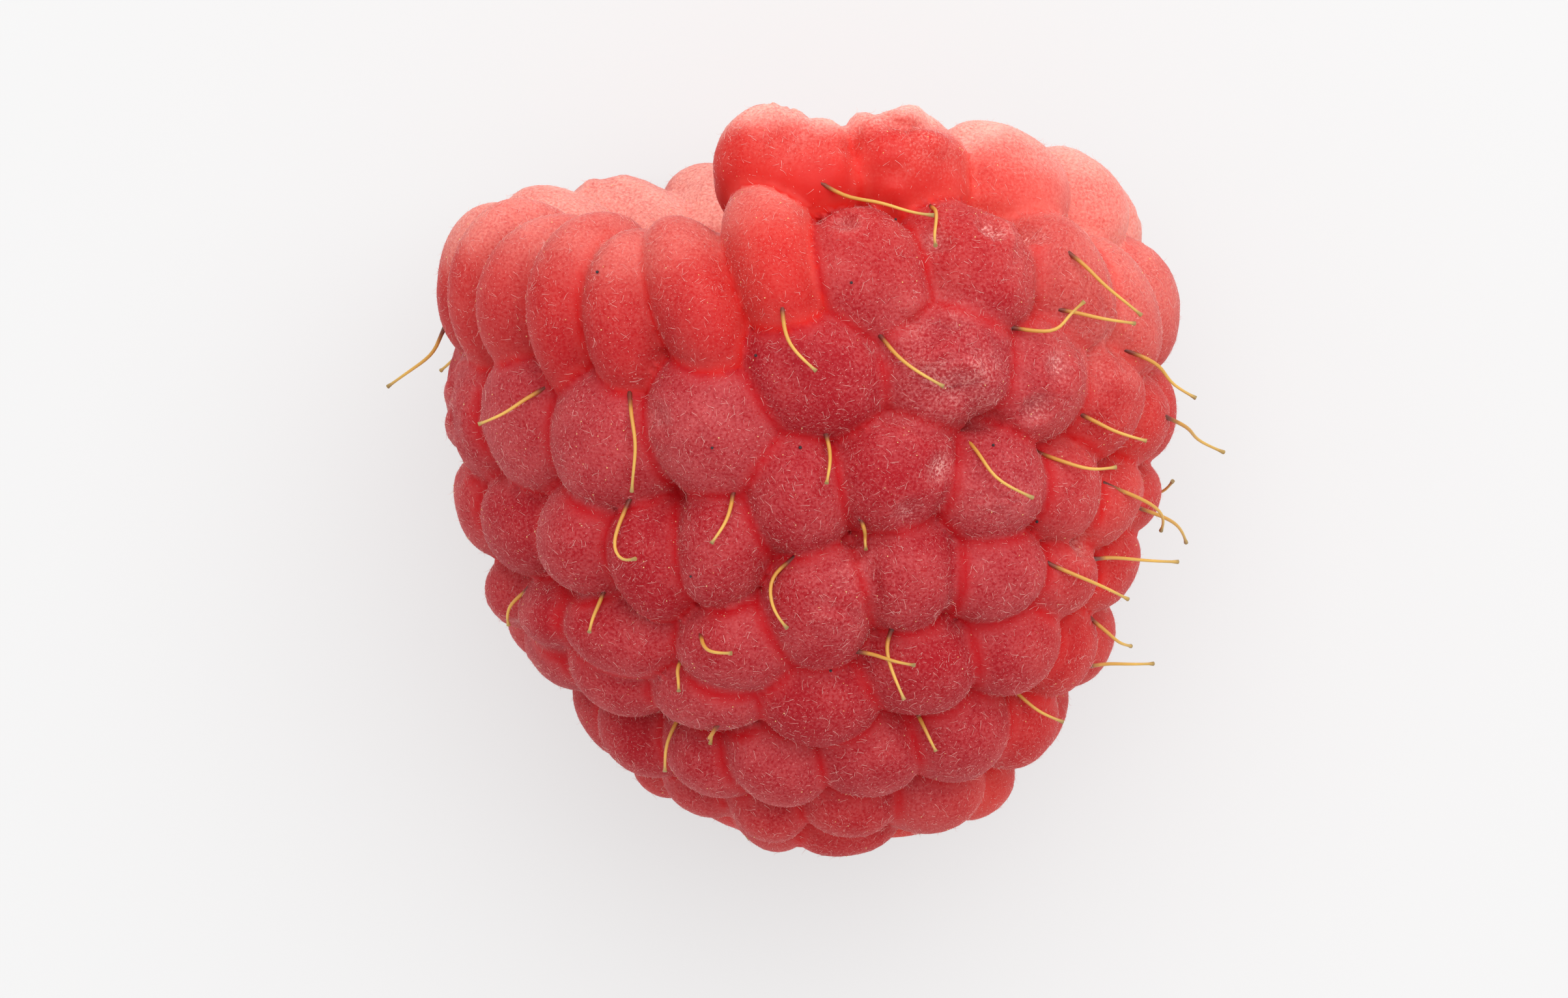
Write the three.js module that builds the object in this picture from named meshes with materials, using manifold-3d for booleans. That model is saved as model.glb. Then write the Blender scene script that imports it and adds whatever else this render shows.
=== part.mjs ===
// A ripe raspberry, picked off its core and lying on its side.
//
// The fruit is one piece: drupelets grown together into a thimble with an open end, the rim, and
// a closed end, the tip. It is shaped about its own axis first, tip at 0 and rim up, and is then
// laid down: the axis along +Y with the rim end a little raised, its front facing +Z, and the
// opposite side flattened a little where the soft drupelets bear on a surface.

import * as THREE from "three";
import { mergeVertices } from "three/addons/utils/BufferGeometryUtils.js";
import Module from "manifold-3d";

// Driving dimensions: millimetres and degrees.
const WIDEST_RADIUS = 10.5; // over the drupelets' caps
const WIDEST_HEIGHT = 15; // of that girth, above the tip
const TIP_REACH = 15.3; // from the girth down to where the envelope closes
const TIP_BLUNTNESS = 2.15; // exponent of the envelope there: 2 is an ellipse
const RIM_REACH = 8; // from the girth up to where the envelope would close
const RIM_BLUNTNESS = 2.2;
const LEAN_BELOW = 7; // below this height the axis bends towards the turn of 90 degrees
const LEAN_ABOVE = 14; // and above this one, away from it
const LEAN = 0.11; // how far, over the height beyond either
const DRUPELET_DEPTH = 4.4; // of one drupelet, from its cap inwards
const WIDTH_RANGE = [2.4, 4.2]; // of the room a drupelet has along its row
const LENGTH_RANGE = [2.2, 4.4]; // and between the rows
const PACKING = 1.17; // a drupelet's free size over that room, as its neighbours press into it
const TIP_LENGTH = 2.6; // length of the last drupelets, which have none below them
const STEEPEST_CAP = 35; // how far the caps near the rim turn towards the open end
const FLESH_DEPTH = 1.9; // from the caps in to the flesh that joins the drupelets
const FLESH_SET_BACK = 1.2; // of that flesh from the middle of the drupelets at the rim
const HOLLOW_RADIUS = 4.8; // of the space the core leaves, at the rim
const HOLLOW_END_RADIUS = 2.6; // and near its closed end
const HOLLOW_END = 7; // height of the closed end above the tip
const LYING_TILT = 8; // of the axis from the surface, rim end up
const BEARING_DEPTH = 0.6; // how far the lowest drupelets are flattened

// The drupelets run in one spiral from the rim down to the tip. Each entry is the front of one turn
// of it, a drupelet at a time as [turn about the axis, height above the tip], and `behind` more are
// spaced evenly round the back on the way to the next entry.
const SPIRAL = [
  { front: [[1, 20.9], [28, 20.8], [55, 20.1], [79, 19.3]], behind: 8 },
  {
    front: [
      [-104, 16.2], [-86, 16.4], [-70, 16.6], [-57, 16.6], [-44, 16.5], [-32, 16.3], [-19, 16.9],
      [-4, 18.1], [12, 17.8], [33, 17.9], [52, 17.2], [68, 15.9],
    ],
    behind: 11,
  },
  {
    front: [
      [-76, 12.6], [-58, 12.7], [-38, 12.5], [-17, 13.1], [1, 14.7], [23, 14.9], [42, 14.2],
      [57, 13.4], [73, 12.6],
    ],
    behind: 10,
  },
  {
    front: [
      [-66, 9.5], [-46, 9.4], [-30, 9.0], [-17, 9.6], [-3, 11.2], [14, 11.8], [33, 11.2], [49, 10.9],
      [64, 10.2],
    ],
    behind: 10,
  },
  {
    front: [[-63, 6.8], [-41, 6.6], [-16, 6.5], [1, 7.7], [18, 8.7], [35, 8.6], [52, 8.2]],
    behind: 11,
  },
  { front: [[-26, 4.9], [0, 4.8], [22, 5.8], [43, 6.3], [64, 5.7]], behind: 9 },
  { front: [[-38, 2.5], [-14, 2.6], [12, 2.8], [36, 3.4], [62, 3.3]], behind: 7 },
  { front: [[-30, 0.9], [8, 1.0], [44, 1.1], [84, 1.1]], behind: 4 },
  { front: [[10, 0], [130, 0], [250, 0]], behind: 0 },
];

const { degToRad, radToDeg, lerp, clamp } = THREE.MathUtils;

// Radius of the envelope that touches the drupelets' caps, at a height above the tip.
function envelopeRadius(height) {
  const below = height < WIDEST_HEIGHT;
  const share = Math.abs(height - WIDEST_HEIGHT) / (below ? TIP_REACH : RIM_REACH);
  const exponent = below ? TIP_BLUNTNESS : RIM_BLUNTNESS;
  return WIDEST_RADIUS * Math.sqrt(Math.max(1 - share ** exponent, 0));
}

// Direction square to the envelope at a height, as [outwards, up].
function envelopeNormal(height) {
  const step = 0.05;
  const spread = envelopeRadius(height + step) - envelopeRadius(height - step);
  const rise = Math.min(Math.atan2(-spread, 2 * step), degToRad(STEEPEST_CAP));
  return [Math.cos(rise), Math.sin(rise)];
}

// Point at a depth under the envelope, as [radius, height].
function underEnvelope(height, depth) {
  const [out, up] = envelopeNormal(height);
  return [Math.max(envelopeRadius(height) - out * depth, 0), height - up * depth];
}

// Distance along the envelope between two heights.
function envelopeLength(from, to) {
  return Math.hypot(envelopeRadius(to) - envelopeRadius(from), to - from);
}

// Middle of every drupelet as { turn, height }, the turn counted on along the spiral.
function layOut(spiral) {
  const middles = [];
  spiral.forEach(({ front, behind }, lap) => {
    for (const [turn, height] of front) middles.push({ turn: turn + 360 * lap, height });
    if (behind === 0) return;
    const last = middles[middles.length - 1];
    const [turn, height] = spiral[lap + 1].front[0];
    const nextTurn = turn + 360 * (lap + 1);
    for (let k = 1; k <= behind; k++) {
      const share = k / (behind + 1);
      middles.push({ turn: lerp(last.turn, nextTurn, share), height: lerp(last.height, height, share) });
    }
  });
  return middles;
}

// Height of the spiral where it passes a turn, or null beyond its ends.
function spiralHeight(middles, turn) {
  const next = middles.findIndex((middle) => middle.turn >= turn);
  if (next < 1) return null;
  const a = middles[next - 1];
  const b = middles[next];
  return lerp(a.height, b.height, (turn - a.turn) / (b.turn - a.turn));
}

// Every drupelet with its width and length, which are the room between its neighbours.
function sizeUp(middles) {
  const last = middles.length - 1;
  return middles.map(({ turn, height }, i) => {
    const before = Math.max(i - 1, 0);
    const after = Math.min(i + 1, last);
    const spacing = (middles[after].turn - middles[before].turn) / (after - before);
    const width = envelopeRadius(height) * degToRad(spacing);
    const above = spiralHeight(middles, turn - 360);
    const below = spiralHeight(middles, turn + 360);
    let length = TIP_LENGTH;
    if (below !== null) {
      length = above === null ? envelopeLength(below, height) : envelopeLength(below, above) / 2;
    }
    return { turn, height, width: clamp(width, ...WIDTH_RANGE), length: clamp(length, ...LENGTH_RANGE) };
  });
}

const wasm = await Module();
wasm.setup();

function toSolid(geometry) {
  const bare = geometry.clone();
  bare.deleteAttribute("normal");
  bare.deleteAttribute("uv");
  const merged = mergeVertices(bare, 1e-4);
  return new wasm.Manifold(
    new wasm.Mesh({
      numProp: 3,
      vertProperties: new Float32Array(merged.attributes.position.array),
      triVerts: new Uint32Array(merged.index.array),
    }),
  );
}

function toGeometry(solid) {
  const mesh = solid.getMesh();
  const geometry = new THREE.BufferGeometry();
  geometry.setAttribute("position", new THREE.BufferAttribute(mesh.vertProperties, 3));
  geometry.setIndex(new THREE.BufferAttribute(mesh.triVerts, 1));
  return geometry;
}

// A body of revolution about the fruit's axis, from [radius, height] points.
function turnedGeometry(points, segments) {
  const profile = points.map(([radius, height]) => new THREE.Vector2(radius, height));
  return new THREE.LatheGeometry(profile, segments).rotateX(Math.PI / 2);
}

// One drupelet: an ellipsoid that touches the envelope, its poles pointing straight in and out.
function drupeletSolid({ turn, height, width, length }) {
  const [out, up] = envelopeNormal(height);
  const [radius, middle] = underEnvelope(height, DRUPELET_DEPTH / 2);
  const place = new THREE.Matrix4()
    .makeBasis(
      new THREE.Vector3(0, (width * PACKING) / 2, 0),
      new THREE.Vector3(out, 0, up).multiplyScalar(DRUPELET_DEPTH / 2),
      new THREE.Vector3(up, 0, -out).multiplyScalar((length * PACKING) / 2),
    )
    .setPosition(radius, 0, middle);
  const turned = new THREE.Matrix4().makeRotationZ(degToRad(turn)).multiply(place);
  return toSolid(new THREE.SphereGeometry(1, 8, 5).applyMatrix4(turned));
}

// The flesh that joins the drupelets from within, its upper edge following the uneven rim.
function fleshSolid(middles) {
  const heights = [2, 4, 7, 10.5, 14];
  const edge = heights.length + 1;
  const profile = [
    [0, heights[0]],
    ...heights.map((height) => underEnvelope(height, FLESH_DEPTH)),
    [WIDEST_RADIUS, WIDEST_HEIGHT],
    [0, WIDEST_HEIGHT],
  ];
  const geometry = turnedGeometry(profile, 28);
  const { position } = geometry.attributes;
  const firstTurn = middles[0].turn;
  for (let i = edge; i < position.count; i += profile.length) {
    const angle = Math.atan2(position.getY(i), position.getX(i));
    const turn = radToDeg(angle);
    const rim = spiralHeight(middles, turn <= firstTurn ? turn + 360 : turn);
    const [radius, height] = underEnvelope(rim - FLESH_SET_BACK, FLESH_DEPTH);
    position.setXYZ(i, radius * Math.cos(angle), radius * Math.sin(angle), height);
  }
  return toSolid(geometry);
}

// The space that the core leaves, open past the rim.
function hollowSolid() {
  const past = WIDEST_HEIGHT + RIM_REACH;
  const profile = [
    [0, HOLLOW_END],
    [HOLLOW_END_RADIUS * 0.75, HOLLOW_END + 0.4],
    [HOLLOW_END_RADIUS, HOLLOW_END + 1.8],
    [HOLLOW_RADIUS, past - 4],
    [HOLLOW_RADIUS + 0.5, past],
    [0, past],
  ];
  return toSolid(turnedGeometry(profile, 20));
}

const middles = layOut(SPIRAL);
let fruit = fleshSolid(middles);
for (const drupelet of sizeUp(middles)) fruit = fruit.add(drupeletSolid(drupelet));
fruit = fruit.subtract(hollowSolid());

// Bend the axis and lay the fruit down.
const lying = toGeometry(fruit);
const { position } = lying.attributes;
for (let i = 0; i < position.count; i++) {
  const height = position.getZ(i);
  const bend = Math.max(LEAN_BELOW - height, 0) - Math.max(height - LEAN_ABOVE, 0);
  position.setY(i, position.getY(i) + LEAN * bend);
}
const tilt = degToRad(LYING_TILT);
const front = new THREE.Vector3(0, -Math.sin(tilt), Math.cos(tilt));
const across = new THREE.Vector3(1, 0, 0);
const axis = new THREE.Vector3(0, Math.cos(tilt), Math.sin(tilt));
lying.applyMatrix4(new THREE.Matrix4().makeBasis(front, across, axis));
lying.computeBoundingBox();

// Flatten what it bears on, and put the ground at z = 0 under its middle.
const ground = lying.boundingBox.min.z + BEARING_DEPTH;
const below = new THREE.BoxGeometry(60, 60, 10).translate(0, 0, ground - 5);
const rested = toGeometry(toSolid(lying).subtract(toSolid(below)));
rested.computeBoundingBox();
const { min, max } = rested.boundingBox;
rested.translate(-(min.x + max.x) / 2, -(min.y + max.y) / 2, -min.z);

const raspberry = new THREE.Mesh(
  rested,
  new THREE.MeshStandardMaterial({ color: 0xb8323c, roughness: 0.55, metalness: 0 }),
);
raspberry.name = "raspberry";
const part = new THREE.Group();
part.add(raspberry);
export default part;
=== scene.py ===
import math

import bpy
import numpy as np
import openvdb
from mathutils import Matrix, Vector
from mathutils.bvhtree import BVHTree


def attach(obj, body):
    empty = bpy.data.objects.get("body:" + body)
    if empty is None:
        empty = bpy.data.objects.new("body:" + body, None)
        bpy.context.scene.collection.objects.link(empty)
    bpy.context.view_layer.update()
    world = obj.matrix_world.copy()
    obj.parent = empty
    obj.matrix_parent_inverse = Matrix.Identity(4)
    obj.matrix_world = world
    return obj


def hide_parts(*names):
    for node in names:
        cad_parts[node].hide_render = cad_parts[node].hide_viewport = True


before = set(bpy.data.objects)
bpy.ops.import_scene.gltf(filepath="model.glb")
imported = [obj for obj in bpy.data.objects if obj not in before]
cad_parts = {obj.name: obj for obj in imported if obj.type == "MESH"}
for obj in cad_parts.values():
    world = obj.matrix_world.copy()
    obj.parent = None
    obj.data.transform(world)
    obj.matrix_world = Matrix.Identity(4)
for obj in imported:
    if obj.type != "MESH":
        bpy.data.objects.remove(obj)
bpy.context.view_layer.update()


# The fruit: a picked raspberry, drupelets grown together into one hollow body about the space its
# core left. It is shaped about its own axis in millimetres, tip at 0 and rim up, as the drupelets
# grew, then bent, laid down on its back and flattened where the lowest drupelets bear.
WIDEST_RADIUS = 10.5
WIDEST_HEIGHT = 15.0
TIP_REACH, TIP_BLUNTNESS = 15.3, 2.15  # down from the widest height; a bluntness of 2 is an ellipse
RIM_REACH, RIM_BLUNTNESS = 8.0, 2.2  # and up from it
LEAN_BELOW, LEAN_ABOVE, LEAN = 7.0, 14.0, 0.11  # the axis bends below one height, above another
DRUPELET_DEPTH = 4.3
DRUPELET_PACKING = 1.18  # free size over the room among the neighbours
RIM_PACKING = 0.94  # how much narrower than that the rim's drupelets are
CAP_FLATNESS = 2.3  # exponent of a drupelet's profile
CREASE_SOFTNESS = 0.05
STEEPEST_CAP = math.radians(35)
# Of the rim's drupelets over their room, at two turns of the spiral.
RIM_LENGTH_TURNS, RIM_LENGTHS = (80, 240), (0.86, 1.14)
TIP_LENGTH = 2.6  # of the last drupelets, which have none below them
NARROWEST, WIDEST, SHORTEST, LONGEST = 2.4, 4.2, 2.2, 4.6  # drupelets
# How far the rim's drupelets swing out of line with the axis, in radians, by turn.
RIM_SWING_TURNS, RIM_SWINGS = [-100, -80, -50, -32, -15, 0], [0, 0.30, 0.25, -0.22, -0.34, 0]
FLESH_DEPTH, FLESH_SET_BACK = 1.9, 1.2  # from the caps in, and down from the rim's drupelets
HOLLOW_END = 7.0
HOLLOW_HEIGHTS = [HOLLOW_END, HOLLOW_END + 0.4, HOLLOW_END + 1.8, 19.0, 23.0]
HOLLOW_RADII = [0, 2.0, 2.6, 4.8, 5.3]
HOLLOW_SOFTNESS = 0.5
INNER_END_DROP, RIM_INNER_END_DROP = 0.8, 2.9  # of a drupelet's end in the hollow, from its cap
INNER_END_SET_BACK, INNER_END_DEPTH, INNER_END_LENGTH = 0.55, 0.9, 1.4
LYING_TILT = math.radians(8)
AXIS_FOOT = np.array([0.132, -10.277, 7.909])  # where the unbent axis starts, as the fruit lies
SKIN_CELL = 0.173  # of the grid that the skin is drawn on

# Marks of growing and handling, by turn, height, radius and depth: pits with a low ring round
# them, and patches where the skin has begun to shrink into folds.
PITS = [
    (9, 19.0, 0.34, 0.42), (35, 18.6, 0.37, 0.40), (45, 18.5, 0.35, 0.36), (25, 18.5, 0.35, 0.26),
    (37, 13.6, 0.37, 0.30), (41, 14.7, 0.40, 0.26), (20, 12.1, 0.40, 0.28), (15, 10.9, 0.40, 0.22),
    (-24, 13.5, 0.37, 0.20), (53, 9.4, 0.40, 0.24), (-120, 11.0, 0.40, 0.34), (150, 14.0, 0.37, 0.34),
    (95, 8.0, 0.40, 0.30), (-80, 6.2, 0.37, 0.28), (120, 17.0, 0.40, 0.34),
]
FOLDS = [
    (23, 14.8, 1.7, 0.45), (3, 21.4, 1.5, 0.30), (29, 21.2, 1.7, 0.50), (40, 18.4, 1.2, 0.26),
    (6, 8.6, 1.4, 0.20), (31, 11.3, 1.3, 0.20), (53, 15.0, 1.7, 0.24), (-17, 13.0, 1.2, 0.14),
    (-80, 13.0, 1.8, 0.20), (140, 9.0, 1.8, 0.24), (100, 16.0, 1.6, 0.20), (-140, 17.0, 2.0, 0.20),
]

# Front of each turn of the spiral as (turn in degrees, height), then how many are behind it.
SPIRAL = [
    ([(1, 20.8), (29, 20.7), (57, 20.1), (80, 19.3)], 8),
    ([(-104, 16.2), (-86, 16.4), (-70, 16.6), (-57, 16.6), (-44, 16.5), (-32, 16.3), (-19, 16.9),
      (-4, 18.1), (12, 17.8), (33, 17.9), (52, 17.2), (68, 15.9)], 11),
    ([(-76, 12.6), (-58, 12.7), (-38, 12.5), (-17, 13.1), (1, 14.7), (23, 14.9), (42, 14.2),
      (57, 13.4), (73, 12.6)], 10),
    ([(-66, 9.5), (-46, 9.4), (-30, 9.0), (-17, 9.6), (-3, 11.2), (14, 11.8), (33, 11.2),
      (49, 10.9), (64, 10.2)], 10),
    ([(-63, 6.8), (-41, 6.6), (-16, 6.5), (1, 7.7), (18, 8.7), (35, 8.6), (52, 8.2)], 11),
    ([(-26, 4.9), (0, 4.8), (22, 5.8), (43, 6.3), (64, 5.7)], 9),
    ([(-38, 2.5), (-14, 2.6), (12, 2.8), (36, 3.4), (62, 3.3)], 7),
    ([(-30, 0.9), (8, 1.0), (44, 1.1), (84, 1.1)], 4),
    ([(10, 0.0), (130, 0.0), (250, 0.0)], 0),
]


def envelope_radius(height):
    below = height < WIDEST_HEIGHT
    reach, bluntness = (TIP_REACH, TIP_BLUNTNESS) if below else (RIM_REACH, RIM_BLUNTNESS)
    share = abs(height - WIDEST_HEIGHT) / reach
    return WIDEST_RADIUS * math.sqrt(max(1 - share**bluntness, 0))


def envelope_normal(height):
    spread = envelope_radius(height + 0.05) - envelope_radius(height - 0.05)
    rise = min(math.atan2(-spread, 0.1), STEEPEST_CAP)
    return math.cos(rise), math.sin(rise)


def under_envelope(height, depth):
    out, up = envelope_normal(height)
    return max(envelope_radius(height) - out * depth, 0), height - up * depth


def envelope_length(start, end):
    return math.hypot(envelope_radius(end) - envelope_radius(start), end - start)


def lay_out(spiral):
    """Turn, counted on along the spiral, and height of every drupelet."""
    middles = []
    for lap, (front, behind) in enumerate(spiral):
        middles += [(turn + 360 * lap, height) for turn, height in front]
        if behind:
            turn, height = middles[-1]
            next_turn, next_height = spiral[lap + 1][0][0]
            for k in range(1, behind + 1):
                share = k / (behind + 1)
                middles.append((
                    turn + (next_turn + 360 * (lap + 1) - turn) * share,
                    height + (next_height - height) * share,
                ))
    return np.array(middles)


def spiral_height(middles, turn):
    """Height of the spiral where it passes a turn, or None beyond its ends."""
    if turn <= middles[0, 0] or turn > middles[-1, 0]:
        return None
    return float(np.interp(turn, middles[:, 0], middles[:, 1]))


class Lobe:
    """A rounded swelling with its own three directions: across its row, along the fruit, outwards."""

    def __init__(self, centre, across, along, out, half, flatness):
        self.centre, self.across, self.along, self.out = centre, across, along, out
        self.half, self.flatness = np.array(half), flatness

    def distance(self, points):
        """Roughly how far outside the lobe points lie."""
        offset = points - self.centre
        across = offset @ self.across / self.half[0]
        along = offset @ self.along / self.half[1]
        outwards = offset @ self.out / self.half[2]
        sideways = (across**2 + along**2) ** (self.flatness / 2)
        share = (sideways + np.abs(outwards) ** self.flatness) ** (1 / self.flatness)
        return np.linalg.norm(offset, axis=-1) * (1 - 1 / np.maximum(share, 1e-3))


def hollow_radius(height):
    return np.interp(height, HOLLOW_HEIGHTS, HOLLOW_RADII)


class Drupelet:
    """One drupelet: its place on the spiral, its swelling outside and its end in the hollow."""

    def __init__(self, middles, index, chance):
        turn, self.height = middles[index]
        before, after = max(index - 1, 0), min(index + 1, len(middles) - 1)
        spacing = (middles[after, 0] - middles[before, 0]) / (after - before)
        width = envelope_radius(self.height) * math.radians(spacing)
        above, below = spiral_height(middles, turn - 360), spiral_height(middles, turn + 360)
        if below is None:
            length = TIP_LENGTH
        elif above is None:
            length = envelope_length(below, self.height)
            length *= float(np.interp(turn, RIM_LENGTH_TURNS, RIM_LENGTHS))
        else:
            length = envelope_length(below, above) / 2
        self.turn = math.remainder(turn, 360)
        self.rim = 1.0 if above is None else 0.0
        self.tone = chance.random()
        self.width = min(max(width, NARROWEST), WIDEST)
        self.length = min(max(length, SHORTEST), LONGEST)
        out, up = envelope_normal(self.height)
        radius, middle = under_envelope(self.height, DRUPELET_DEPTH / 2)
        cos, sin = math.cos(math.radians(turn)), math.sin(math.radians(turn))
        across, along = np.array([-sin, cos, 0.0]), np.array([up * cos, up * sin, -out])
        spin = chance.normal(0, 0.12)
        packing = DRUPELET_PACKING
        if above is None:
            packing *= RIM_PACKING
            spin += float(np.interp(self.turn, RIM_SWING_TURNS, RIM_SWINGS))
        self.cap = Lobe(
            np.array([radius * cos, radius * sin, middle]),
            across * math.cos(spin) + along * math.sin(spin),
            along * math.cos(spin) - across * math.sin(spin),
            np.array([out * cos, out * sin, up]),
            [self.width / 2 * packing * chance.uniform(0.97, 1.04),
             self.length / 2 * DRUPELET_PACKING * chance.uniform(0.97, 1.04),
             DRUPELET_DEPTH / 2 * chance.uniform(0.96, 1.03)],
            CAP_FLATNESS * chance.uniform(0.92, 1.10),
        )
        end_height = max(self.height - (RIM_INNER_END_DROP if above is None else INNER_END_DROP), 1)
        wall = float(hollow_radius(end_height))
        share = wall / envelope_radius(end_height)
        place = wall + INNER_END_SET_BACK
        self.end = Lobe(
            np.array([place * cos, place * sin, end_height]), across,
            np.array([0.0, 0.0, -1.0]), np.array([cos, sin, 0.0]),
            [self.width * share * 0.56, min(self.length * 0.52, INNER_END_LENGTH), INNER_END_DEPTH], 2.2,
        )


def soft_min(a, b, softness):
    overlap = np.maximum(softness - np.abs(a - b), 0) / softness
    return np.minimum(a, b) - overlap**2 * softness / 4


def soft_max(a, b, softness):
    return -soft_min(-a, -b, softness)


def wobble(points, reach, wave, chance):
    """Smooth, aimless shifts of up to about `reach` over distances of `wave`."""
    shift = np.zeros_like(points)
    for _ in range(6):
        direction = chance.normal(size=3)
        direction *= 2 * math.pi / wave / np.linalg.norm(direction)
        shift += np.sin(points @ direction + chance.uniform(0, 6.3))[..., None] * chance.normal(size=3)
    return (points + shift * reach / 4).astype(np.float32)


chance = np.random.default_rng(7)
middles = lay_out(SPIRAL)
drupelets = [Drupelet(middles, i, chance) for i in range(len(middles))]
LOW, HIGH = np.array([-11.8, -11.8, -1.2]), np.array([11.8, 11.8, 24.0])
counts = ((HIGH - LOW) / SKIN_CELL).astype(int)
grid = np.stack(np.meshgrid(*[LOW[i] + SKIN_CELL * np.arange(counts[i]) for i in range(3)],
                            indexing="ij"), axis=-1).astype(np.float32)
warped = wobble(grid, 0.16, 5.0, chance)


def grid_box(centre, reach):
    """The part of the grid within reach of a point."""
    low = np.maximum(((centre - reach - LOW) / SKIN_CELL).astype(int), 0)
    high = ((centre + reach - LOW) / SKIN_CELL).astype(int) + 1
    return tuple(slice(low[i], high[i]) for i in range(3))


def off_line(place, points):
    """How far points lie from the line that stands on the fruit at a turn and height."""
    turn, height = place
    out, up = envelope_normal(height)
    radius = envelope_radius(height)
    cos, sin = math.cos(math.radians(turn)), math.sin(math.radians(turn))
    offset = points - np.array([radius * cos, radius * sin, height])
    return np.linalg.norm(np.cross(offset, [out * cos, out * sin, up]), axis=-1)


radius = np.hypot(grid[..., 0], grid[..., 1])
height = grid[..., 2]
turn = np.degrees(np.arctan2(grid[..., 1], grid[..., 0]))
turn = np.where(turn <= middles[0, 0], turn + 360, turn)
rim = np.interp(turn, middles[:, 0], middles[:, 1]) - FLESH_SET_BACK
under = np.array([under_envelope(step, FLESH_DEPTH) for step in np.linspace(0.2, 21, 60)])
flesh = np.maximum(radius - np.interp(height, under[:, 1], under[:, 0]), height - rim)
field = np.maximum(flesh, under[0, 1] - height).astype(np.float32)
for drupelet in drupelets:
    box = grid_box(drupelet.cap.centre, drupelet.cap.half.max() + 0.8)
    field[box] = soft_min(field[box], drupelet.cap.distance(warped[box]), CREASE_SOFTNESS)

for turn_here, height_here, size, depth in PITS + FOLDS:
    place = envelope_radius(height_here)
    cos, sin = math.cos(math.radians(turn_here)), math.sin(math.radians(turn_here))
    box = grid_box(np.array([place * cos, place * sin, height_here]), 2.2 * size + 0.6)
    aside = off_line((turn_here, height_here), grid[box]) / size
    if (turn_here, height_here, size, depth) in PITS:
        field[box] += depth * (np.exp(-aside**2) - 0.25 * np.exp(-(((aside - 1.5) / 0.45) ** 2)))
    else:
        winding = wobble(grid[box], 0.5, 1.9, chance)
        folds = sum(
            1 - 2 * np.abs(np.sin(winding @ (chance.normal(size=3) * 1.7))) for _ in range(3)) / 3
        field[box] += depth * folds * np.exp(-((aside * 0.9) ** 2))

hollow = np.where(height > HOLLOW_END, hollow_radius(height) - radius, -1.0)
field = soft_max(field, hollow, HOLLOW_SOFTNESS)
for drupelet in drupelets:
    if drupelet.height > HOLLOW_END + 1.6:
        box = grid_box(drupelet.end.centre, drupelet.end.half.max() + 0.5)
        field[box] = soft_min(field[box], drupelet.end.distance(warped[box]), 0.12)

front = np.array([0.0, -math.sin(LYING_TILT), math.cos(LYING_TILT)])
across = np.array([1.0, 0.0, 0.0])
axis = np.array([0.0, math.cos(LYING_TILT), math.sin(LYING_TILT)])
above_ground = grid[..., 0] * front[2] + grid[..., 2] * axis[2] + AXIS_FOOT[2]
field = soft_max(field, -above_ground, 0.1)

volume = openvdb.FloatGrid(1.0)
volume.copyFromArray(field.astype(np.float32))
vertices, quads = volume.convertToQuads(isovalue=0.0)
vertices = vertices.astype(float) * SKIN_CELL + LOW


def lay_down(points):
    """From the fruit's own upright millimetres to where it lies, in metres."""
    height = points[:, 2]
    bend = np.maximum(LEAN_BELOW - height, 0) - np.maximum(height - LEAN_ABOVE, 0)
    sideways = points[:, 1] + LEAN * bend
    place = points[:, :1] * front + sideways[:, None] * across + points[:, 2:] * axis
    return (place + AXIS_FOOT) / 1000


def rising(values, start, end):
    """0 before start, 1 after end, and smooth between."""
    share = np.clip((values - start) / (end - start), 0, 1)
    return share * share * (3 - 2 * share)


# What the skin carries for its finish, each from 0 to 1: how near the crest of a drupelet, how far
# up it, which way it faces, the painted light, and where the marks with their painted glints, the bare
# patches, the frost with its painted highlight and the hollow are.
nearest = np.full((len(vertices), 2), 9.0)
owner = np.zeros(len(vertices), int)
for i, drupelet in enumerate(drupelets):
    near = np.nonzero(np.linalg.norm(vertices - drupelet.cap.centre, axis=1) < 4.2)[0]
    gap = drupelet.cap.distance(vertices[near])
    closer = gap < nearest[near, 0]
    nearest[near, 1] = np.where(closer, nearest[near, 0], np.minimum(nearest[near, 1], gap))
    nearest[near, 0] = np.where(closer, gap, nearest[near, 0])
    owner[near[closer]] = i
on_cap = rising(nearest[:, 1] - nearest[:, 0], 0.0, 0.45)
rim_share = np.array([drupelet.rim for drupelet in drupelets])[owner]
centres = np.array([drupelet.cap.centre for drupelet in drupelets])[owner]
up_cap = np.einsum("ij,ij->i", vertices - centres,
                   -np.array([d.cap.along / d.cap.half[1] for d in drupelets])[owner])
heights = vertices[:, 2]
turns = np.degrees(np.arctan2(vertices[:, 1], vertices[:, 0]))
facing_right = rising(turns, 30, 66) * rising(-turns, -150, -110)
facing_left = rising(-turns, 55, 95) * rising(turns, -150, -110)
skyward = rising(
    (vertices - centres) @ np.array([front[2], 0, axis[2]]) / DRUPELET_DEPTH, -0.35, 0.12)
# Painted light: paler towards the top, the rim and the tip, where light shines through, on the sides
# facing right and a little on those facing left; painted shade on the sides that face down.
pale = rising(heights, 14.5, 20) * 0.35 + rim_share * 0.5 + facing_right * 0.55 + facing_left * 0.15
pale -= (1 - skyward) * 0.5
pale -= rim_share * 0.2 * rising(-turns, 8, 20)
pale += rising(-heights, -3.5, -0.5) * 0.25
off_wall = np.hypot(vertices[:, 0], vertices[:, 1]) - hollow_radius(heights)
inside = np.clip(1.7 - 1.6 * off_wall, 0, 1)
inside *= heights > HOLLOW_END - 0.3
away = rising(np.abs(turns), 45, 95)
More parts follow.
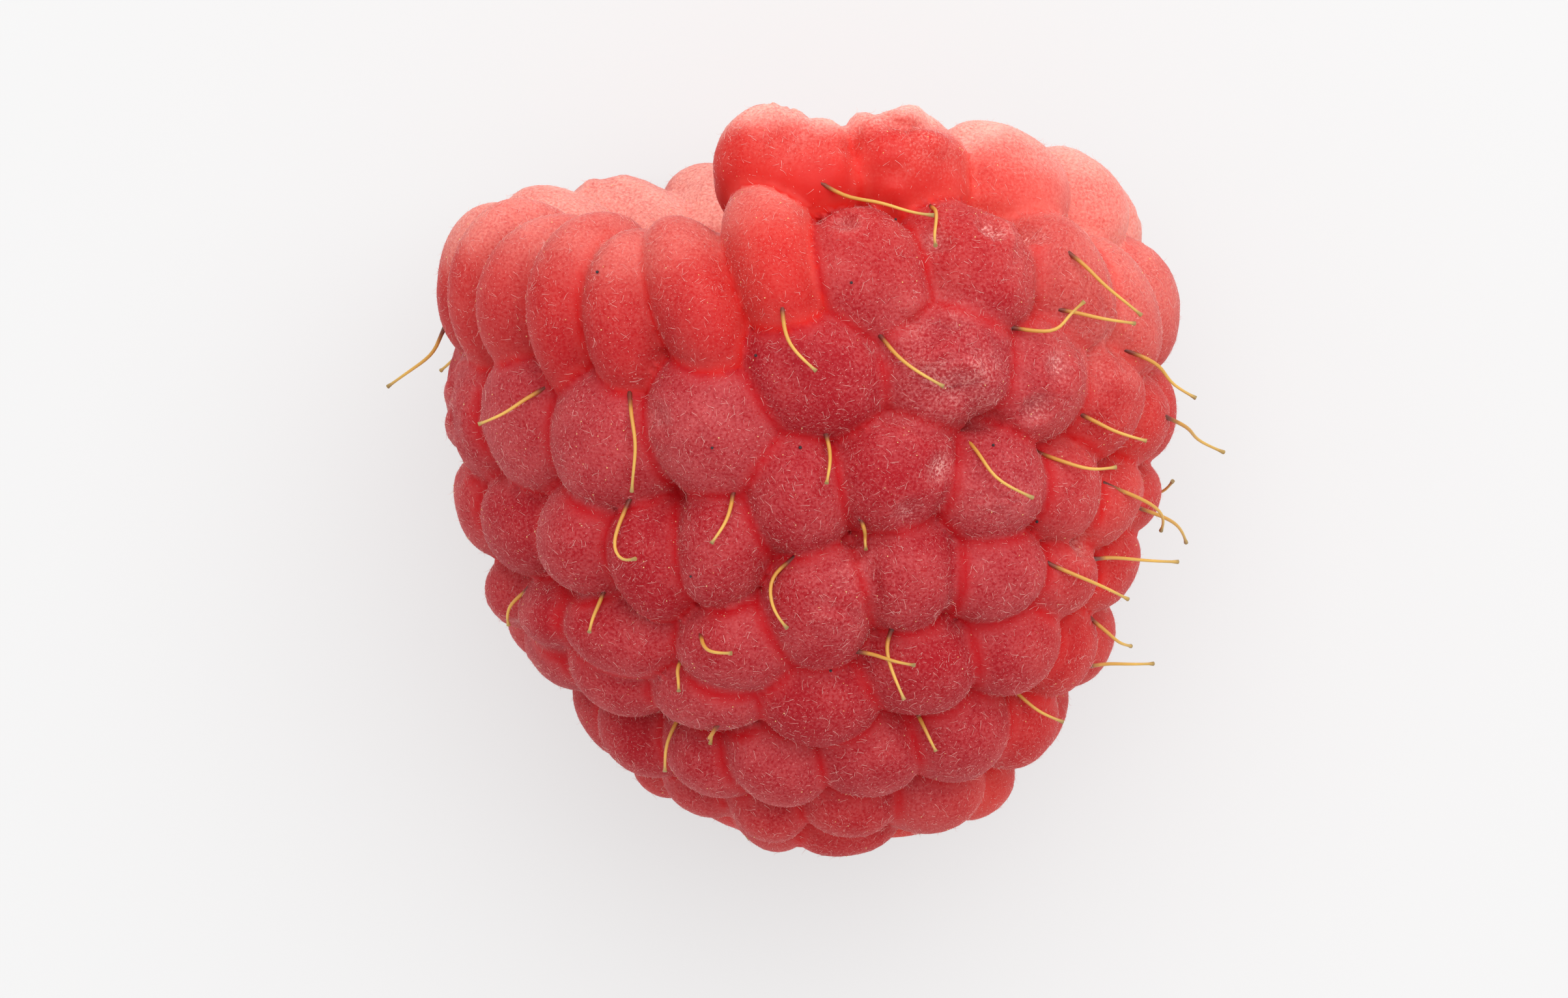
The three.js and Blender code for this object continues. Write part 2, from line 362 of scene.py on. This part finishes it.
# Frost: the down's own whitish colour, with a painted highlight on the upper, upturned and right-facing
# sides of the rim's drupelets.
frost = rim_share * np.maximum(rising(up_cap, 0.1, 0.8), facing_right)
frost = frost * (0.25 + 0.75 * rising(heights, 19, 21.5) + 0.45 * away)
frost = np.maximum(frost, 0.35 * facing_right * rising(heights, 12, 19)) * (0.15 + 0.85 * skyward)
# Wear on the pits and folds, which also carries the painted glints, made stronger on the pits.
worn = np.zeros(len(vertices))
for mark_here in PITS + FOLDS:
    turn_here, height_here, size, depth = mark_here
    mark = np.exp(-((off_line((turn_here, height_here), vertices) / size) ** 2))
    mark *= depth * (2.6 if mark_here in PITS else 1.0)
    worn = np.maximum(worn, mark * (vertices @ np.array([
        math.cos(math.radians(turn_here)), math.sin(math.radians(turn_here)), 0]) > 0))

bare = rim_share * rising(-up_cap, -0.1, 0.5) * (0.35 + 0.65 * rising(heights, 17.8, 18.8))
lying = lay_down(vertices)
hairy = (1 - inside) * (0.5 + 0.5 * on_cap) * (1 - 0.8 * bare) * rising(lying[:, 2] * 1000, 0.3, 0.6)

mesh = bpy.data.meshes.new("raspberry_skin")
mesh.from_pydata(lying.tolist(), [], quads[:, ::-1].tolist())
mesh.shade_smooth()
for name, values in {
    "on_cap": on_cap,
    "tone": np.array([drupelet.tone for drupelet in drupelets])[owner],
    "height": heights,
    "pale": np.clip(pale, 0, 1),
    "bare": bare,
    "hairy": hairy,
    "frost": np.clip(frost, 0, 1),
    "worn": np.clip(worn, 0, 1),
    "inside": inside,
}.items():
    attribute = mesh.attributes.new(name, "FLOAT", "POINT")
    attribute.data.foreach_set("value", values.astype(np.float32))
skin = bpy.data.objects.new("raspberry_skin", mesh)
bpy.context.scene.collection.objects.link(skin)


class Flow:
    """A value passing through a node tree, on which arithmetic adds Math nodes."""

    def __init__(self, socket):
        self.socket = socket

    @classmethod
    def node(cls, tree, kind, settings=None, inputs=None, output=0):
        node = tree.nodes.new(kind)
        for name, value in (settings or {}).items():
            if name == "stops":
                ramp = node.color_ramp.elements
                while len(ramp) < len(value):
                    ramp.new(0.5)
                for stop, (position, color) in zip(ramp, value):
                    stop.position, stop.color = position, (*color, 1)
            else:
                setattr(node, name, value)
        for name, value in (inputs or {}).items():
            if isinstance(value, Flow):
                tree.links.new(value.socket, node.inputs[name])
            else:
                node.inputs[name].default_value = value
        return cls(node.outputs[output])

    def math(self, operation, other, swapped=False):
        pair = (other, self) if swapped else (self, other)
        return Flow.node(
            self.socket.id_data, "ShaderNodeMath", {"operation": operation}, dict(enumerate(pair)))

    def __add__(self, other):
        return self.math("ADD", other)

    __radd__ = __add__

    def __sub__(self, other):
        return self.math("SUBTRACT", other)

    def __rsub__(self, other):
        return self.math("SUBTRACT", other, True)

    def __mul__(self, other):
        return self.math("MULTIPLY", other)

    __rmul__ = __mul__

    def clipped(self):
        return Flow.node(self.socket.id_data, "ShaderNodeClamp", {}, {0: self})


def attribute_value(tree, name):
    return Flow.node(tree, "ShaderNodeAttribute", {"attribute_name": name}, output="Fac")


def uneven(tree, place, scale, detail):
    """Noise of a fineness, in features to the metre."""
    return Flow.node(
        tree, "ShaderNodeTexNoise", {}, {"Vector": place, "Scale": scale, "Detail": detail}, "Fac")


def mixed(tree, share, first, second):
    """Colour between two, either of them a colour or another node's."""
    return Flow.node(tree, "ShaderNodeMix", {"data_type": "RGBA"}, {0: share, 6: first, 7: second}, 2)


# Shaded and lit copies of the crease, cap and bloom colours; the painted light mixes between them.
CREASE_RED, LIT_CREASE_RED = (0.46, 0.005, 0.010, 1), (0.74, 0.018, 0.010, 1)
CAP_RED, LIT_CAP_RED = (0.37, 0.009, 0.016, 1), (0.68, 0.022, 0.016, 1)
BLOOM, LIT_BLOOM = (0.60, 0.115, 0.12, 1), (0.82, 0.17, 0.13, 1)
# The frost's colour, whitened by a painted highlight.
FROST_HIGHLIGHT = (1.0, 0.46, 0.38, 1)
HOLLOW_PINK = (0.86, 0.34, 0.27, 1)
PAINTED_GLINT = (1.0, 0.60, 0.54, 1)  # a painted highlight: the glint on the worn pits
CREASE_GLOW = (0.08, 0.001, 0.0015, 1)  # light that comes through the thin flesh between drupelets

flesh_material = bpy.data.materials.new("raspberry_flesh")
flesh_material.use_nodes = True
tree = flesh_material.node_tree
shader = tree.nodes["Principled BSDF"]
cap_share = attribute_value(tree, "on_cap")
painted_light_share = attribute_value(tree, "pale")
frost_and_highlight_share = attribute_value(tree, "frost")
inside_share = attribute_value(tree, "inside")
covered = 1 - attribute_value(tree, "bare")
wear_and_glint_share = attribute_value(tree, "worn")
place = Flow.node(tree, "ShaderNodeTexCoord", output="Object")
mottle = uneven(tree, place, 900.0, 4.0)
fuzz = uneven(tree, place, 13000.0, 2.0)
crease = mixed(tree, painted_light_share, CREASE_RED, LIT_CREASE_RED)
cap = mixed(tree, (painted_light_share + (mottle - 0.5) * 0.5).clipped(), CAP_RED, LIT_CAP_RED)
body = mixed(tree, (cap_share + (mottle - 0.5) * 0.4).clipped(), crease, cap)
bloom = mixed(tree, painted_light_share, BLOOM, LIT_BLOOM)
# Painted sheen: a paler ring round each cap's edge, where the down catches the light side-on.
sheen_edge = cap_share * (1 - cap_share)
dusty = mottle * 0.7 + fuzz * 1.5 + attribute_value(tree, "tone") * 0.3 - 0.98
# Worn patches paler, partly a painted highlight.
scuffed_and_highlit = wear_and_glint_share * (fuzz * 1.4 + mottle * 0.9 - 0.55)
bloom_and_sheen_share = (
    cap_share * covered * dusty * (1 - painted_light_share * 0.6) + sheen_edge * 0.5 + scuffed_and_highlit).clipped()
bloomed_and_lit = mixed(tree, bloom_and_sheen_share, body, bloom)
# The frost with its painted highlight.
frost_and_highlight_amount = (frost_and_highlight_share * (mottle * 0.8 + fuzz * 1.6 - 0.32)).clipped()
bloomed_and_lit = mixed(tree, frost_and_highlight_amount, bloomed_and_lit, FROST_HIGHLIGHT)
coloured = mixed(tree, inside_share, bloomed_and_lit, mixed(tree, mottle, HOLLOW_PINK, LIT_CAP_RED))
roughness = 0.42 + cap_share * covered * 0.16
tree.links.new(roughness.socket, shader.inputs["Roughness"])
tree.links.new((wear_and_glint_share * 0.5).clipped().socket, shader.inputs["Coat Weight"])
shader.inputs["Coat Roughness"].default_value = 0.2
bump = Flow.node(tree, "ShaderNodeBump", {}, {
    "Strength": 0.4, "Distance": 0.00006, "Height": fuzz * covered + mottle * 0.6}, "Normal")
tree.links.new(bump.socket, shader.inputs["Normal"])
# Painted glints on the worn pits.
painted_glint_share = (wear_and_glint_share * wear_and_glint_share * (fuzz * 2.6 + mottle * 2.2 - 2.42) * 2.5).clipped()
tree.links.new(mixed(tree, painted_glint_share, coloured, PAINTED_GLINT).socket, shader.inputs["Base Color"])
glow = mixed(tree, ((1 - cap_share) * (1 - inside_share)).clipped(), (0, 0, 0, 1), CREASE_GLOW)
tree.links.new(glow.socket, shader.inputs["Emission Color"])
shader.inputs["Emission Strength"].default_value = 0.5
shader.inputs["Subsurface Weight"].default_value = 0.35
shader.inputs["Subsurface Radius"].default_value = (1.0, 0.16, 0.1)
shader.inputs["Subsurface Scale"].default_value = 0.0013
shader.inputs["Sheen Weight"].default_value = 0.05
shader.inputs["Sheen Roughness"].default_value = 0.4
shader.inputs["Sheen Tint"].default_value = (1.0, 0.72, 0.68, 1)
shader.inputs["Specular IOR Level"].default_value = 0.1
mesh.materials.append(flesh_material)
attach(skin, "root")
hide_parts("raspberry")


# The down: fine, curved, nearly white hairs that grow all over the outer skin, thickest on the
# caps. It is planted belt by belt along the fruit, each belt of it one piece.
HAIR_LENGTH, HAIR_THICKNESS = 0.00025, 0.0000105
HAIRS_PER_MM2 = 70.0
DOWN_BELTS = 10

down_material = bpy.data.materials.new("raspberry_down")
down_material.use_nodes = True
down_shader = down_material.node_tree.nodes["Principled BSDF"]
down_shader.inputs["Base Color"].default_value = (0.92, 0.52, 0.48, 1)
down_shader.inputs["Roughness"].default_value = 0.6
down_shader.inputs["Specular IOR Level"].default_value = 0.2


class Tree:
    """A Geometry Nodes tree with named inputs, which grows one mesh from another."""

    def __init__(self, name, inputs):
        self.group = bpy.data.node_groups.new(name, "GeometryNodeTree")
        for label, kind in inputs.items():
            self.group.interface.new_socket(label, in_out="INPUT", socket_type="NodeSocket" + kind)
        self.group.interface.new_socket("Geometry", in_out="OUTPUT", socket_type="NodeSocketGeometry")
        self.identifiers = {
            item.name: item.identifier
            for item in self.group.interface.items_tree if item.in_out == "INPUT"}
        self.inputs = self.group.nodes.new("NodeGroupInput")

    def __getitem__(self, label):
        return Flow(self.inputs.outputs[label])

    def node(self, kind, settings=None, inputs=None, output=0):
        return Flow.node(self.group, kind, settings, inputs, output)

    def surface(self, name):
        """A value that the skin carries."""
        return self.node("GeometryNodeInputNamedAttribute", {"data_type": "FLOAT"}, {"Name": name})

    def finish(self, geometry, material):
        real = self.node("GeometryNodeRealizeInstances", {}, {"Geometry": geometry})
        smooth = self.node("GeometryNodeSetShadeSmooth", {}, {"Geometry": real})
        painted = self.node("GeometryNodeSetMaterial", {}, {"Geometry": smooth, "Material": material})
        self.group.links.new(painted.socket, self.group.nodes.new("NodeGroupOutput").inputs[0])

    def grow(self, host, name, values):
        """What the tree makes of a mesh, as a plain mesh object of its own."""
        modifier = host.modifiers.new(name, "NODES")
        modifier.node_group = self.group
        for label, value in values.items():
            modifier[self.identifiers[label]] = value
        evaluated = host.evaluated_get(bpy.context.evaluated_depsgraph_get())
        grown = bpy.data.meshes.new_from_object(evaluated)
        host.modifiers.remove(modifier)
        for attribute in [a for a in grown.attributes if a.name in ("height", "tone")]:
            grown.attributes.remove(attribute)
        piece = bpy.data.objects.new(name, grown)
        bpy.context.scene.collection.objects.link(piece)
        return piece


planting = Tree("plant_down", {
    "Skin": "Geometry", "Hairs per square metre": "Float", "Length": "Float", "Thickness": "Float",
    "Lowest": "Float", "Highest": "Float", "Seed": "Int", "Material": "Material",
})
hair_set = planting.group.nodes.new("GeometryNodeGeometryToInstance")
for bow, reach, tip in ((0.30, 0.15, 0.95), (0.05, 0.70, 0.70), (0.65, 0.80, 0.35), (0.5, 0.1, 0.8)):
    strand = planting.node("GeometryNodeCurveQuadraticBezier", {}, {
        "Resolution": 2, "Start": (0, 0, -0.06), "Middle": (bow, 0, 0.6), "End": (reach, 0.15, tip)})
    along = planting.node("GeometryNodeSplineParameter", output="Factor")
    ring = planting.node("GeometryNodeCurvePrimitiveCircle", {}, {
        "Resolution": 3, "Radius": planting["Thickness"].math("DIVIDE", planting["Length"]) * 0.5})
    hair = planting.node("GeometryNodeCurveToMesh", {}, {
        "Curve": strand, "Profile Curve": ring, "Scale": 1 - along * 0.8})
    planting.group.links.new(hair.socket, hair_set.inputs[0])

above_lowest = planting.node("FunctionNodeCompare", {"operation": "GREATER_EQUAL"}, {
    0: planting.surface("height"), 1: planting["Lowest"]})
under_highest = planting.node("FunctionNodeCompare", {"operation": "LESS_THAN"}, {
    0: planting.surface("height"), 1: planting["Highest"]})
planted = planting.node("GeometryNodeDistributePointsOnFaces", {}, {
    "Mesh": planting["Skin"], "Seed": planting["Seed"],
    "Selection": planting.node("FunctionNodeBooleanMath", {"operation": "AND"}, {
        0: above_lowest, 1: under_highest}),
    "Density": planting.surface("hairy") * planting["Hairs per square metre"]})
upright = Flow(planted.socket.node.outputs["Rotation"])
tousle = planting.node("FunctionNodeRandomValue", {"data_type": "FLOAT_VECTOR"}, {
    0: (-1.1, -1.1, 0.0), 1: (1.1, 1.1, 6.28), "Seed": 3})
leaning = planting.node("FunctionNodeRotateRotation", {"rotation_space": "LOCAL"}, {
    "Rotation": upright, "Rotate By": tousle})
hair_scale = planting.node(
    "FunctionNodeRandomValue", {"data_type": "FLOAT"}, {2: 0.5, 3: 1.3, "Seed": 4}, 1)
coat = planting.node("GeometryNodeInstanceOnPoints", {}, {
    "Points": planted, "Instance": Flow(hair_set.outputs[0]), "Pick Instance": True,
    "Rotation": leaning, "Scale": hair_scale * planting["Length"]})
planting.finish(coat, planting["Material"])

belt_edges = np.quantile(heights[inside < 0.3], np.linspace(0, 1, DOWN_BELTS + 1))
for number in range(DOWN_BELTS):
    belt = planting.grow(skin, f"down_belt_{number + 1}", {
        "Hairs per square metre": HAIRS_PER_MM2 * 1e6, "Length": HAIR_LENGTH, "Thickness": HAIR_THICKNESS,
        "Lowest": float(belt_edges[number]) - (number == 0),
        "Highest": float(belt_edges[number + 1]) + (number == DOWN_BELTS - 1),
        "Seed": number + 1, "Material": down_material,
    })
    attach(belt, "root")


# The styles: what is left of each drupelet's flower, a dry golden thread with a knob at its end. It
# stands in the crease at the drupelet's lower end and curls over the ones below.
STYLE_THICKNESS = 0.00012

# By the places that each passes over, as (turn, height), and how far its end stands off the skin.
SEEN_STYLES = [
    ([(5, 20.2), (14, 19.5), (24, 18.9)], 0.5), ([(28, 19.6), (25, 18.9), (23, 18.2)], 0.3),
    ([(-3, 16.7), (-3, 15.7), (1, 15.0)], 0.4), ([(12, 15.9), (14, 15.1), (19, 14.5)], 0.4),
    ([(35, 15.9), (40, 15.6), (44, 16.4)], 1.0), ([(48, 17.8), (49, 16.8), (54, 15.9)], 0.8),
    ([(45, 16.3), (49, 15.9), (54, 15.7)], 0.6), ([(-31, 14.1), (-27, 12.9), (-29, 11.4)], 0.3),
    ([(-50, 13.9), (-52, 13.3), (-55, 13.0)], 0.7), ([(2, 13.1), (3, 12.5), (2, 11.9)], 0.3),
    ([(27, 12.9), (27, 11.9), (33, 11.4)], 0.5), ([(42, 12.1), (46, 11.8), (50, 11.9)], 0.7),
    ([(49, 13.2), (51, 12.8), (54, 12.6)], 0.8), ([(-13, 11.4), (-13, 10.8), (-15, 10.3)], 0.4),
    ([(-32, 11.0), (-33, 10.0), (-30, 9.6), (-27, 9.8)], 0.8), ([(8, 10.6), (9, 10.1), (9, 9.7)], 0.2),
    ([(-3, 9.4), (-8, 8.9), (-7, 8.3), (-4, 8.0)], 0.4), ([(15, 7.3), (13, 6.7), (15, 5.9)], 0.5),
    ([(8, 6.6), (12, 6.6), (17, 6.8)], 0.5), ([(-20, 7.3), (-17, 7.2), (-13, 7.3)], 0.4),
    ([(-41, 8.1), (-41, 7.7), (-40, 7.4)], 0.4), ([(-27, 6.2), (-27, 6.0), (-26, 5.8)], 0.2),
    ([(-21, 4.7), (-25, 4.2), (-28, 3.6)], 0.2), ([(-39, 3.8), (-41, 3.5), (-40, 3.2)], 0.3),
    ([(23, 4.3), (24, 4.0), (25, 3.8)], 0.1), ([(58, 11.0), (66, 10.4), (72, 9.6)], 0.9),
    ([(56, 8.9), (65, 8.8), (73, 8.9)], 1.1), ([(44, 9.0), (50, 8.7), (56, 8.3)], 0.8),
    ([(49, 4.8), (52, 4.5), (56, 4.5)], 0.6), ([(-88, 15.0), (-90, 14.0), (-93, 13.2)], 1.4),
    ([(71, 12.8), (79, 12.2), (86, 11.6)], 1.5), ([(74, 10.0), (82, 9.6), (88, 9.0)], 1.2),
    ([(70, 5.4), (77, 5.6), (83, 5.9)], 1.0), ([(-68, 7.6), (-70, 7.2), (-71, 6.8)], 0.1),
    ([(62, 14.8), (66, 14.2), (70, 13.4)], 0.9), ([(66, 6.9), (70, 6.4), (75, 6.3)], 1.0),
]
SEEN_TURNS = (-104, 104)  # the side on which those above are all there are
STYLE_SHARE = 0.7  # of the other drupelets, those that still have theirs

PATH_POINTS = 10
STYLE_ROOT_DEPTH, STYLE_CLEARANCE = 0.12, 0.30  # below the skin at its root, and over it further on

skin_surface = BVHTree.FromPolygons(vertices.tolist(), quads.tolist())


def standing_off(turn, height, rise):
    """The point at a distance over the skin, in the fruit's own upright millimetres."""
    out, up = envelope_normal(height)
    cos, sin = math.cos(math.radians(turn)), math.sin(math.radians(turn))
    normal = Vector((out * cos, out * sin, up))
    radius = envelope_radius(height)
    far = Vector((radius * cos, radius * sin, height)) + normal * 4
    hit = skin_surface.ray_cast(far, -normal)[0]
    return None if hit is None else np.array(hit + normal * rise)


def style_path(places, rise):
    """Points from the root in the flesh, over the skin, to the free end."""
    places = np.array(places, float)
    marks = np.linspace(0, 1, len(places))
    shares = np.linspace(0, 1, PATH_POINTS)
    turns_along, heights_along = (np.interp(shares, marks, places[:, i]) for i in (0, 1))
    for values in (turns_along, heights_along):
        for _ in range(2):
            values[1:-1] = (values[:-2] + 2 * values[1:-1] + values[2:]) / 4
    lifts = (STYLE_ROOT_DEPTH + STYLE_CLEARANCE) * np.minimum(shares / 0.25, 1) - STYLE_ROOT_DEPTH
    lifts += rise * shares**1.6
    points = [standing_off(t, h, l) for t, h, l in zip(turns_along, heights_along, lifts)]
    if any(point is None for point in points):
        return None
    points = np.array(points)
    for _ in range(3):
        points[1:-1] = (points[:-2] + 2 * points[1:-1] + points[2:]) / 4
    return points


paths = [style_path(places, rise) for places, rise in SEEN_STYLES]
for drupelet in drupelets:
    spread, lean, length, rise, kept = chance.uniform(size=5)
    seen = SEEN_TURNS[0] < drupelet.turn < SEEN_TURNS[1] and drupelet.height > 2
    if seen or kept > STYLE_SHARE or drupelet.height < 0.6:
        continue
    foot_turn, foot_height = drupelet.turn, drupelet.height - drupelet.length * 0.5
    if foot_height < 0.4:
        continue
    degrees_per_mm = math.degrees(1 / max(envelope_radius(foot_height), 2.0))
    heading = (spread - 0.5) * 2.0
    reach = 1.1 + 1.4 * length
    middle = (foot_turn + math.sin(heading) * reach * 0.5 * degrees_per_mm,
              max(foot_height - math.cos(heading) * reach * 0.5, 0.3))
    heading += (lean - 0.5) * 3.2
    end = (middle[0] + math.sin(heading) * reach * 0.5 * degrees_per_mm,
           max(middle[1] - math.cos(heading) * reach * 0.5, 0.2))
    paths.append(style_path([(foot_turn, foot_height), middle, end], 0.2 + 0.8 * rise))
paths = [path for path in paths if path is not None]
paths = [path for path in paths if lay_down(path)[:, 2].min() > STYLE_THICKNESS]

path_points = lay_down(np.concatenate(paths))
path_edges = [
    (PATH_POINTS * i + k, PATH_POINTS * i + k + 1)
    for i in range(len(paths)) for k in range(PATH_POINTS - 1)]
path_mesh = bpy.data.meshes.new("style_paths")
path_mesh.from_pydata(path_points.tolist(), path_edges, [])
path_host = bpy.data.objects.new("style_paths", path_mesh)
bpy.context.scene.collection.objects.link(path_host)

threading = Tree("draw_styles", {
    "Paths": "Geometry", "Thickness": "Float", "Rings": "Int", "Sides": "Int", "Material": "Material"})
threads = threading.node("GeometryNodeCurveSplineType", {"spline_type": "CATMULL_ROM"}, {
    "Curve": threading.node("GeometryNodeMeshToCurve", {}, {"Mesh": threading["Paths"]})})
threads = threading.node("GeometryNodeResampleCurve", {}, {"Curve": threads, "Count": threading["Rings"]})
along = threading.node("GeometryNodeSplineParameter", output="Factor")
threads = threading.node("GeometryNodeStoreNamedAttribute", {"data_type": "FLOAT", "domain": "POINT"}, {
    "Geometry": threads, "Name": "along", "Value": along})
root_swell = (1 - along * 9).math("MAXIMUM", 0.0) * 0.35
knob = ((along - 0.92) * 12).math("MAXIMUM", 0.0) * 0.5
threads = threading.node("GeometryNodeCurveToMesh", {}, {
    "Curve": threads, "Fill Caps": True, "Scale": 1.05 - along * 0.45 + root_swell + knob,
    "Profile Curve": threading.node("GeometryNodeCurvePrimitiveCircle", {}, {
        "Resolution": threading["Sides"], "Radius": threading["Thickness"] * 0.5})})
threading.finish(threads, threading["Material"])

style_material = bpy.data.materials.new("raspberry_style")
style_material.use_nodes = True
tree = style_material.node_tree
shader = tree.nodes["Principled BSDF"]
place = Flow.node(tree, "ShaderNodeTexCoord", output="Object")
streak = uneven(tree, place, 3500.0, 3.0)
aged = Flow.node(tree, "ShaderNodeValToRGB", {"stops": [
    (0.0, (0.08, 0.010, 0.008)), (0.10, (0.22, 0.035, 0.015)), (0.22, (0.62, 0.29, 0.045)),
    (0.75, (0.76, 0.45, 0.09)), (0.93, (0.60, 0.37, 0.09)), (1.0, (0.34, 0.23, 0.08)),
]}, {"Fac": (attribute_value(tree, "along") + (streak - 0.5) * 0.12).clipped()})
tree.links.new(aged.socket, shader.inputs["Base Color"])
shader.inputs["Roughness"].default_value = 0.5
shader.inputs["Subsurface Weight"].default_value = 0.15
shader.inputs["Subsurface Radius"].default_value = (1.0, 0.6, 0.2)
shader.inputs["Subsurface Scale"].default_value = 0.0001
bump = Flow.node(
    tree, "ShaderNodeBump", {}, {"Strength": 0.5, "Distance": 0.00003, "Height": streak}, "Normal")
tree.links.new(bump.socket, shader.inputs["Normal"])
styles = threading.grow(path_host, "styles", {
    "Thickness": STYLE_THICKNESS, "Rings": 16, "Sides": 7, "Material": style_material})
bpy.data.objects.remove(path_host)
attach(styles, "root")


# Grains caught in the down: yellow pollen and bits of dry anther all over, and a few specks of
# black soil. They lie where they fell, half sunk among the hairs.
POLLEN_GRAINS, POLLEN_SIZE = 1100, 0.000045
SOIL_SIZE = 0.00011
SOIL_PLACES = [  # as (turn, height)
    (-15, 12.8), (-2, 12.7), (19, 19.2), (-33, 17.4), (8, 17.3), (-8, 15.3), (30, 12.6),
    (-20, 9.1), (41, 10.2), (3, 6.1), (120, 12.0), (-130, 9.0), (170, 5.0), (-100, 15.0),
]

settling = Tree("settle_grains", {
    "Places": "Geometry", "Size": "Float", "Smallest": "Float", "Seed": "Int", "Material": "Material"})
grain_scale = settling.node("FunctionNodeRandomValue", {"data_type": "FLOAT"}, {
    2: settling["Smallest"], 3: 1.0, "Seed": settling["Seed"]}, 1)
grains = settling.node("GeometryNodeInstanceOnPoints", {}, {
    "Points": settling["Places"], "Scale": grain_scale * settling["Size"],
    "Instance": settling.node("GeometryNodeMeshIcoSphere", {}, {"Radius": 0.5, "Subdivisions": 1})})
settling.finish(grains, settling["Material"])


def grain_material(name, dark, light):
    """A dull, uneven finish between two colours."""
    material = bpy.data.materials.new(name)
    material.use_nodes = True
    tree = material.node_tree
    place = Flow.node(tree, "ShaderNodeTexCoord", output="Object")
    shader = tree.nodes["Principled BSDF"]
    speckle = uneven(tree, place, 9000.0, 2.0)
    tree.links.new(mixed(tree, speckle, dark, light).socket, shader.inputs["Base Color"])
    shader.inputs["Roughness"].default_value = 0.7
    return material


outer = np.nonzero((inside < 0.05) & (lying[:, 2] > 0.0004))[0]
pollen_places = vertices[chance.choice(outer, POLLEN_GRAINS, replace=False)]
soil_places = np.array([standing_off(turn, height, 0.03) for turn, height in SOIL_PLACES])
for name, places, size, smallest, material in (
    ("pollen", pollen_places, POLLEN_SIZE, 0.4,
     grain_material("raspberry_pollen", (0.75, 0.42, 0.10, 1), (0.95, 0.80, 0.45, 1))),
    ("soil_specks", soil_places, SOIL_SIZE, 0.6,
     grain_material("raspberry_soil", (0.010, 0.008, 0.010, 1), (0.05, 0.04, 0.045, 1))),
):
    place_mesh = bpy.data.meshes.new(name + "_places")
    place_mesh.from_pydata(lay_down(places).tolist(), [], [])
    place_host = bpy.data.objects.new(name + "_places", place_mesh)
    bpy.context.scene.collection.objects.link(place_host)
    grains_piece = settling.grow(place_host, name, {
        "Size": size, "Smallest": smallest, "Seed": 5, "Material": material})
    bpy.data.objects.remove(place_host)
    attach(grains_piece, "root")


# The stage: a plain pale ground under the fruit, lit all round by soft white light, and seen
# from straight above.
GROUND_SIZE = 1.2
ground_mesh = bpy.data.meshes.new("ground")
half = GROUND_SIZE / 2
corners = [(-half, -half, 0), (half, -half, 0), (half, half, 0), (-half, half, 0)]
ground_mesh.from_pydata(corners, [], [(0, 1, 2, 3)])
ground = bpy.data.objects.new("ground", ground_mesh)
bpy.context.scene.collection.objects.link(ground)
paper = bpy.data.materials.new("pale_ground")
paper.use_nodes = True
shader = paper.node_tree.nodes["Principled BSDF"]
shader.inputs["Base Color"].default_value = (0.28, 0.28, 0.28, 1)
shader.inputs["Roughness"].default_value = 0.9
shader.inputs["Emission Color"].default_value = (1, 1, 1, 1)  # lit a little from below
shader.inputs["Emission Strength"].default_value = 0.57
ground_mesh.materials.append(paper)

world = bpy.data.worlds.new("studio")
bpy.context.scene.world = world
world.use_nodes = True
world.node_tree.nodes["Background"].inputs["Color"].default_value = (1, 1, 1, 1)
world.node_tree.nodes["Background"].inputs["Strength"].default_value = 0.72

light_data = bpy.data.lights.new("softbox", "AREA")
light_data.size = 0.42
light_data.energy = 1.2
softbox = bpy.data.objects.new("softbox", light_data)
softbox.location = (0.065, 0.17, 0.32)
softbox.rotation_euler = (math.radians(-28), math.radians(10), 0)
bpy.context.scene.collection.objects.link(softbox)

camera_data = bpy.data.cameras.new("camera")
camera_data.sensor_width = 36
camera_data.lens = 178
camera_data.clip_start = 0.01
camera = bpy.data.objects.new("camera", camera_data)
camera.location = (-0.00065, -0.00041, 0.2296)
bpy.context.scene.collection.objects.link(camera)
bpy.context.scene.camera = camera
bpy.context.scene.view_settings.view_transform = "Standard"
